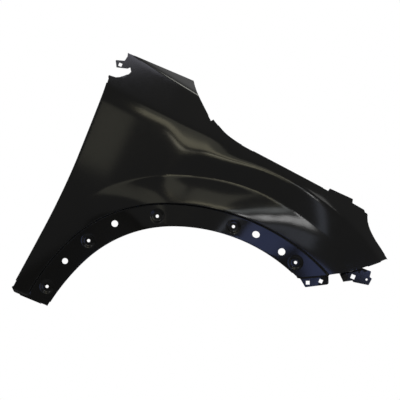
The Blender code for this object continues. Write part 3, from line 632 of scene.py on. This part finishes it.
def hole_loops(sides):
    """Every hole punched through the blank."""
    loops = []
    for angle, offset in DIMPLES:
        centre = arch_point(angle, offset)[0]
        loops.append(hole_loop(*centre, 2.0 * CLIP_HOLE, 2.0 * CLIP_HOLE, 0.0, sides))
    for angle, offset, width, height in PLAIN_HOLES:
        centre = arch_point(angle, offset)[0]
        loops.append(hole_loop(*centre, width, height, angle, sides))
    for x, z, size, turn in TAB_HOLES:
        loops.append(hole_loop(x, z, size, size, turn, 4))
    x, z, radius = SMALL_HOLE
    loops.append(hole_loop(x, z, 2.0 * radius, 2.0 * radius, 0.0, sides))
    return loops


def arch_rows(offsets, first, last, step):
    """Points along the arch at several distances out from a varying line."""
    angles = np.arange(first, last, math.degrees(step / CROWN_RADIUS))
    return np.vstack([arch_point(angles, offset(angles)[:, None]) for offset in offsets])


def level_rows(height, offsets, first, last, step):
    """Points along a line across the body side, at several heights off it."""
    x = np.arange(first, last, step)
    return np.vstack([np.stack([x, height(x) + offset], axis=1) for offset in offsets])


def hinge_rows(hinge, offsets, step):
    """Points along a tab's hinge line, at several distances beyond it."""
    start, end = np.array(hinge)
    length = np.hypot(*(end - start))
    along = (end - start) / length
    run = np.arange(0.0, length + step, step)
    line = start + along * run[:, None]
    return np.vstack([line + np.array([along[1], -along[0]]) * offset for offset in offsets])


def grid_points(outline, spacing):
    """Even staggered points over the whole blank."""
    low, high = outline.min(axis=0), outline.max(axis=0)
    rows = np.arange(low[1], high[1], spacing * math.sqrt(0.75))
    points = []
    for i, z in enumerate(rows):
        x = np.arange(low[0] + (i % 2) * spacing / 2.0, high[0], spacing)
        points.append(np.stack([x, np.full(len(x), z)], axis=1))
    return np.vstack(points)


def triangulate(outline, holes, fill):
    """Triangles of the blank, with its outline and holes kept as edges."""
    points, edges = [], []
    for loop in [outline] + holes:
        first, count = len(points), len(loop)
        points.extend(loop)
        edges.extend((first + i, first + (i + 1) % count) for i in range(count))
    points.extend(fill)
    flat = [Vector((float(x), float(z))) for x, z in points]
    result = delaunay_2d_cdt(flat, edges, [], 0, MERGE_WITHIN)
    places = np.array([tuple(v) for v in result[0]])
    faces = np.array(result[2])
    centres = places[faces].mean(axis=1)
    keep = inside(centres, outline)
    for loop in holes:
        keep &= ~inside(centres, loop)
    index = {old: new for new, olds in enumerate(result[3]) for old in olds}
    return places, faces[keep], index


def sheet_mesh(name, spacing, step, row_step, sides):
    """Outer face of the pressed sheet and its flanges, as an open surface."""
    outline, flanged = blank(step)
    holes = hole_loops(sides)
    fill = fill_points(outline, holes, spacing, row_step)
    places, faces, index = triangulate(outline, holes, fill)
    depth = depth_at(places[:, 0], places[:, 1])
    verts = [(x, y, z) for (x, z), y in zip(places, depth)]
    polygons = [tuple(int(i) for i in face) for face in faces]
    for run, indices, normals in flanged:
        chain = [index[i] for i in indices]
        base = outline[indices]
        base_depth = depth_at(base[:, 0], base[:, 1])
        slope = edge_slope(base, normals)
        for out, back in flange_section(run, base, slope):
            first = len(verts)
            moved = base + normals * out[:, None]
            verts.extend(zip(moved[:, 0], base_depth + back, moved[:, 1]))
            ahead = list(range(first, first + len(chain)))
            for i in range(len(chain) - 1):
                polygons.append((chain[i + 1], chain[i], ahead[i], ahead[i + 1]))
            chain = ahead
    mesh = bpy.data.meshes.new(name)
    mesh.from_pydata([tuple(c * MM for c in v) for v in verts], [], polygons)
    mesh.validate()
    return mesh


def bonnet_line(x):
    """Blank's edge beside the bonnet at x, with the depth there and its outward normal."""
    start, end = np.array(BONNET_FRONT), np.array(BONNET_REAR)
    along = (end - start) / np.hypot(*(end - start))
    normal = np.array([along[1], -along[0]])
    place = start + (end - start) * (x - start[0]) / (end[0] - start[0])
    place = inset(place[None, :], normal[None, :])[0]
    return place, float(depth_at(*place)), normal


def rail_pad(x):
    """Middle of the rail flange's upper face at a pad, and the flange's normal."""
    place, depth, normal = bonnet_line(x)
    points, normals = place[None, :], normal[None, :]
    rows = flange_section("bonnet", points, edge_slope(points, normals))
    out, back = float(rows[-1][0][0]), float(rows[-1][1][0])
    inner = back - (RAIL_FLANGE + RAIL_PAD) / 2.0
    x_pad, z_pad = place + normal * out
    return Vector((x_pad, depth + inner, z_pad)), Vector((normal[0], 0.0, normal[1]))


def part_origin():
    """Point under the main rail pad, beside its bolt hole, where the part is held."""
    place, normal = rail_pad(MAIN_PAD)
    along = Vector((normal.z, 0.0, -normal.x))
    return place - normal * SHEET + along * PAD_POINT_ASIDE


def bolt_places():
    """Middle and axis of every bolt hole in the flanges."""
    places = [rail_pad(x) for x in RAIL_PADS]
    for z in PILLAR_EARS:
        x = door_edge(z)
        depth = float(depth_at(x + BEND_RADIUS, z))
        middle = BEND_RADIUS + DOOR_RETURN + PILLAR_EAR / 2.0
        places.append((Vector((x, depth + middle, z)), Vector((1.0, 0.0, 0.0))))
    depth = float(depth_at(SILL_BOLT_AT, SILL_HEIGHT + BEND_RADIUS))
    middle = BEND_RADIUS + SILL_FLANGE * SILL_BOLT_SHARE
    places.append((Vector((SILL_BOLT_AT, depth + middle, SILL_HEIGHT)), Vector((0.0, 0.0, 1.0))))
    return places


def rounded(corners):
    """Straight run through corners of x, z and fillet radius."""
    points = []
    for i, (x, z, radius) in enumerate(corners):
        here = np.array([x, z])
        if radius == 0.0 or i in (0, len(corners) - 1):
            points.append(here)
            continue
        back = np.array(corners[i - 1][:2]) - here
        ahead = np.array(corners[i + 1][:2]) - here
        back_length, ahead_length = np.hypot(*back), np.hypot(*ahead)
        back, ahead = back / back_length, ahead / ahead_length
        half = math.acos(np.clip(back @ ahead, -1.0, 1.0)) / 2.0
        trim = min(radius / math.tan(half), back_length * FILLET_LIMIT, ahead_length * FILLET_LIMIT)
        start, end = here + back * trim, here + ahead * trim
        for t in np.linspace(0.0, 1.0, FILLET_POINTS):
            points.append((1 - t) ** 2 * start + 2 * t * (1 - t) * here + t ** 2 * end)
    return spaced(np.array(points), EDGE_STEP)


def inside(points, loop):
    """Which points lie inside a closed loop."""
    x0, z0 = loop[:, 0], loop[:, 1]
    x1, z1 = np.roll(x0, -1), np.roll(z0, -1)
    rise = np.where(z1 == z0, 1.0, z1 - z0)
    found = []
    for block in np.array_split(points, max(1, len(points) // BLOCK)):
        x, z = block[:, 0][:, None], block[:, 1][:, None]
        crossing = x0 + (z - z0) * (x1 - x0) / rise
        spans = (z0 > z) != (z1 > z)
        found.append((np.sum(spans & (x < crossing), axis=1) % 2).astype(bool))
    return np.concatenate(found)


def edge_distance(points, loop):
    """Distance from each point to a closed loop."""
    start, along = loop, np.roll(loop, -1, axis=0) - loop
    found = []
    for block in np.array_split(points, max(1, len(points) // BLOCK)):
        offset = block[:, None, :] - start
        t = np.clip((offset * along).sum(2) / (along ** 2).sum(1), 0.0, 1.0)
        found.append(np.sqrt(((offset - t[..., None] * along) ** 2).sum(2)).min(1))
    return np.concatenate(found)


def near(points, loop, margin):
    """Which points lie in the box round a loop, widened by a margin."""
    low, high = loop.min(axis=0) - margin, loop.max(axis=0) + margin
    return np.all((points > low) & (points < high), axis=1)


def tab_rows(step):
    """Points along the hinge lines of the bumper tabs."""
    return [hinge_rows(hinge, HINGE_ROWS, step) for hinge in (LOWER_TAB_HINGE, UPPER_TAB_HINGE)]


def dimple_rings():
    """Points round each dimple, from its clip hole out past its rim."""
    turns = np.linspace(0.0, 360.0, RING_POINTS, endpoint=False)
    rings = []
    for angle, offset in DIMPLES:
        centre = arch_point(angle, offset)[0]
        for radius in np.arange(CLIP_HOLE + RING_STEP, DIMPLE_RIM + 2.0 * RING_STEP, RING_STEP):
            rings.append(centre + aim(turns) * radius)
    return rings


def feature_points(step):
    """Bands of points that carry the form's bends, most important first."""
    wall = [lambda a, d=d: band_width(a) + d * BAND_WALL for d in WALL_ROWS]
    ridge = [lambda a, d=d: np.full(len(a), FLARE_OFFSET + d) for d in RIDGE_ROWS]
    top = FLARE_OFFSET + SCOOP_HEIGHT
    scoop = [lambda a, d=d: np.full(len(a), top + d) for d in SCOOP_ROWS]
    foot = FOOT_STEP - FOOT_WALL * FOOT_ROWS
    return tab_rows(step) + dimple_rings() + [
        arch_rows(wall, *WALL_ENDS, step),
        arch_rows(ridge, *RIDGE_ENDS, step),
        level_rows(shoulder_height, SHOULDER_ROWS, *SHOULDER_ENDS, step),
        arch_rows(scoop, *SCOOP_ENDS, step),
        level_rows(haunch_bend, HAUNCH_ROWS, *SHOULDER_ENDS, step),
        level_rows(fold_height, FOLD_ROWS, *FOLD_ENDS, step),
        level_rows(lambda x: 0.0 * x, foot, *FOOT_ENDS, step),
    ]


def fill_points(outline, holes, spacing, step):
    """Points inside the blank, clear of its edges, its holes and one another."""
    kept = [tuple(p) for p in outline]
    bands = [(band, CLEARANCE * ROW_GAP) for band in feature_points(step)]
    bands.append((grid_points(outline, spacing), spacing * GRID_GAP))
    fill = []
    for band, gap in bands:
        band = band[inside(band, outline)]
        keep = np.ones(len(band), bool)
        for loop in holes:
            close = near(band, loop, CLEARANCE)
            if close.any():
                spots = band[close]
                bad = inside(spots, loop) | (edge_distance(spots, loop) < CLEARANCE / 2.0)
                keep[np.flatnonzero(close)[bad]] = False
        band = band[keep]
        tree = KDTree(len(kept))
        for i, (x, z) in enumerate(kept):
            tree.insert((x, z, 0.0), i)
        tree.balance()
        new = [tuple(p) for p in band if tree.find((p[0], p[1], 0.0))[2] > gap]
        kept.extend(new)
        fill.extend(new)
    return np.array(fill)


def node(tree, kind, **values):
    """One shader node with some of its inputs or settings set."""
    made = tree.nodes.new(kind)
    for name, value in values.items():
        if hasattr(made, name):
            setattr(made, name, value)
        else:
            made.inputs[name.replace("_", " ")].default_value = value
    return made


def noise(tree, place, scale, detail, roughness):
    """Noise texture in the object's own coordinates."""
    made = node(tree, "ShaderNodeTexNoise", Scale=scale, Detail=detail, Roughness=roughness)
    tree.links.new(place.outputs["Object"], made.inputs["Vector"])
    return made


def blend(tree, texture, ends, colours):
    """Colour ramp that a texture drives from one colour to another."""
    made = node(tree, "ShaderNodeValToRGB")
    for stop, position, colour in zip(made.color_ramp.elements, ends, colours):
        stop.position = position
        stop.color = colour
    tree.links.new(texture.outputs["Fac"], made.inputs["Fac"])
    return made


def dip_coat():
    """Black dip coat: near black, half gloss, with an orange peel and faint dust."""
    material = bpy.data.materials.new("dip_coat")
    material.use_nodes = True
    tree = material.node_tree
    shader = tree.nodes["Principled BSDF"]
    shader.inputs["Metallic"].default_value = 0.0
    shader.inputs["Specular IOR Level"].default_value = COAT_SPECULAR
    place = node(tree, "ShaderNodeTexCoord")
    cloud = noise(tree, place, *TINT_NOISE)
    tint = blend(tree, cloud, TINT_ENDS, (COAT_DARK, COAT_PALE))
    tree.links.new(tint.outputs["Color"], shader.inputs["Base Color"])
    gloss = node(tree, "ShaderNodeMapRange")
    gloss.inputs["To Min"].default_value = COAT_ROUGHNESS[0]
    gloss.inputs["To Max"].default_value = COAT_ROUGHNESS[1]
    speck = noise(tree, place, *GLOSS_NOISE)
    tree.links.new(speck.outputs["Fac"], gloss.inputs["Value"])
    tree.links.new(gloss.outputs["Result"], shader.inputs["Roughness"])
    peel = noise(tree, place, *PEEL_NOISE)
    bump = node(tree, "ShaderNodeBump", Strength=PEEL_STRENGTH, Distance=PEEL_HEIGHT)
    tree.links.new(peel.outputs["Fac"], bump.inputs["Height"])
    tree.links.new(bump.outputs["Normal"], shader.inputs["Normal"])
    return material


def cut_bolt_holes(panel, origin):
    """Cut the round bolt holes of the flanges with short cylinders."""
    cutters = []
    for number, (place, axis) in enumerate(bolt_places(), 1):
        bpy.ops.mesh.primitive_cylinder_add(
            vertices=ROUND_SIDES, radius=BOLT_HOLE * MM, depth=CUTTER_LENGTH * MM,
            location=(place - origin) * MM,
        )
        cutter = bpy.context.object
        cutter.name = f"bolt_{number}"
        cutter.rotation_euler = axis.to_track_quat("Z", "Y").to_euler()
        cut = panel.modifiers.new(cutter.name, "BOOLEAN")
        cut.operation = "DIFFERENCE"
        cut.solver = "EXACT"
        cut.object = cutter
        cutters.append(cutter)
    return cutters


def settle(panel, helpers):
    """Apply the panel's modifiers and remove what they used."""
    bpy.context.view_layer.update()
    shaped = panel.evaluated_get(bpy.context.evaluated_depsgraph_get())
    mesh = bpy.data.meshes.new_from_object(shaped)
    panel.modifiers.clear()
    panel.data = mesh
    for helper in helpers:
        bpy.data.objects.remove(helper)


def fine_panel():
    """The pressed sheet with its flanges, thickness and bolt holes."""
    origin = part_origin()
    mesh = sheet_mesh("panel_sheet", GRID, EDGE_STEP, ROW_STEP, ROUND_SIDES)
    mesh.transform(Matrix.Translation(-origin * MM))
    mesh.materials.append(dip_coat())
    panel = bpy.data.objects.new("panel_sheet", mesh)
    bpy.context.scene.collection.objects.link(panel)
    solid = panel.modifiers.new("sheet", "SOLIDIFY")
    solid.thickness = SHEET * MM
    solid.offset = -1.0
    solid.use_even_offset = True
    settle(panel, cut_bolt_holes(panel, origin))
    panel.data.shade_smooth()
    panel.data.set_sharp_from_angle(angle=math.radians(SHARP_ANGLE))
    return panel


def floor_finish():
    """Plain pale finish of the floor, with the faintest cloud in it."""
    material = bpy.data.materials.new("floor_pale")
    material.use_nodes = True
    tree = material.node_tree
    shader = tree.nodes["Principled BSDF"]
    shader.inputs["Roughness"].default_value = FLOOR_ROUGHNESS
    place = node(tree, "ShaderNodeTexCoord")
    cloud = noise(tree, place, *FLOOR_NOISE)
    tint = blend(tree, cloud, (0.0, 1.0), (FLOOR_DARK, FLOOR_PALE))
    tree.links.new(tint.outputs["Color"], shader.inputs["Base Color"])
    return material


def floor():
    """Round pale floor below the part."""
    bpy.ops.mesh.primitive_circle_add(
        vertices=FLOOR_SIDES, radius=FLOOR_RADIUS, fill_type="NGON",
        location=(AIM[0], 0.0, FLOOR_HEIGHT),
    )
    disc = bpy.context.object
    disc.name = "floor"
    disc.data.materials.append(floor_finish())


def camera():
    """Long lens square to the car's side, rolled as the photo is."""
    data = bpy.data.cameras.new("camera")
    data.lens = LENS
    data.sensor_width = SENSOR
    data.clip_end = CLIP_END
    distance = FRAME_WIDTH * LENS / SENSOR
    back = Vector(VIEW_BACK).normalized()
    eye = bpy.data.objects.new("camera", data)
    eye.location = Vector(AIM) + back * distance
    eye.rotation_mode = "QUATERNION"
    turn = Quaternion((0.0, 0.0, 1.0), math.radians(ROLL))
    eye.rotation_quaternion = back.to_track_quat("Z", "Y") @ turn
    bpy.context.scene.collection.objects.link(eye)
    bpy.context.scene.camera = eye


def lamp(name, place, size, power, colour):
    """Soft rectangular lamp turned to the panel."""
    data = bpy.data.lights.new(name, "AREA")
    data.shape = "RECTANGLE"
    data.size, data.size_y = size
    data.energy = power
    data.color = colour
    made = bpy.data.objects.new(name, data)
    made.location = place
    made.rotation_mode = "QUATERNION"
    made.rotation_quaternion = (Vector(place) - Vector(AIM)).to_track_quat("Z", "Y")
    bpy.context.scene.collection.objects.link(made)


def surroundings():
    """White ground for the camera and for reflections, soft grey light on surfaces."""
    world = bpy.data.worlds.new("studio")
    bpy.context.scene.world = world
    world.use_nodes = True
    tree = world.node_tree
    light = tree.nodes["Background"]
    light.inputs["Color"].default_value = WHITE
    light.inputs["Strength"].default_value = WORLD_LEVEL
    ground = node(tree, "ShaderNodeBackground", Color=WHITE, Strength=1.0)
    rays = node(tree, "ShaderNodeLightPath")
    seen = node(tree, "ShaderNodeMath", operation="MAXIMUM")
    shown = node(tree, "ShaderNodeMath", operation="MAXIMUM")
    tree.links.new(rays.outputs["Is Camera Ray"], seen.inputs[0])
    tree.links.new(rays.outputs["Is Glossy Ray"], seen.inputs[1])
    tree.links.new(seen.outputs[0], shown.inputs[0])
    tree.links.new(rays.outputs["Is Transmission Ray"], shown.inputs[1])
    mix = node(tree, "ShaderNodeMixShader")
    tree.links.new(shown.outputs[0], mix.inputs["Fac"])
    tree.links.new(light.outputs[0], mix.inputs[1])
    tree.links.new(ground.outputs[0], mix.inputs[2])
    tree.links.new(mix.outputs[0], tree.nodes["World Output"].inputs["Surface"])


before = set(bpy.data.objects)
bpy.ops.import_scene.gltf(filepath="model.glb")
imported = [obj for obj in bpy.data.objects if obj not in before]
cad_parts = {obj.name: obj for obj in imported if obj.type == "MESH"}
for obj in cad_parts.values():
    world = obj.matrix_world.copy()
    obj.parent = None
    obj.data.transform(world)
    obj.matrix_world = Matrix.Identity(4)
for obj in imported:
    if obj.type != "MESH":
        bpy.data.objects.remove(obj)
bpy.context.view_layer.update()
panel = fine_panel()
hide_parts("panel")
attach(panel, "root")
floor()
camera()
surroundings()
for values in LAMPS:
    lamp(*values)
bpy.context.scene.view_settings.view_transform = "Standard"
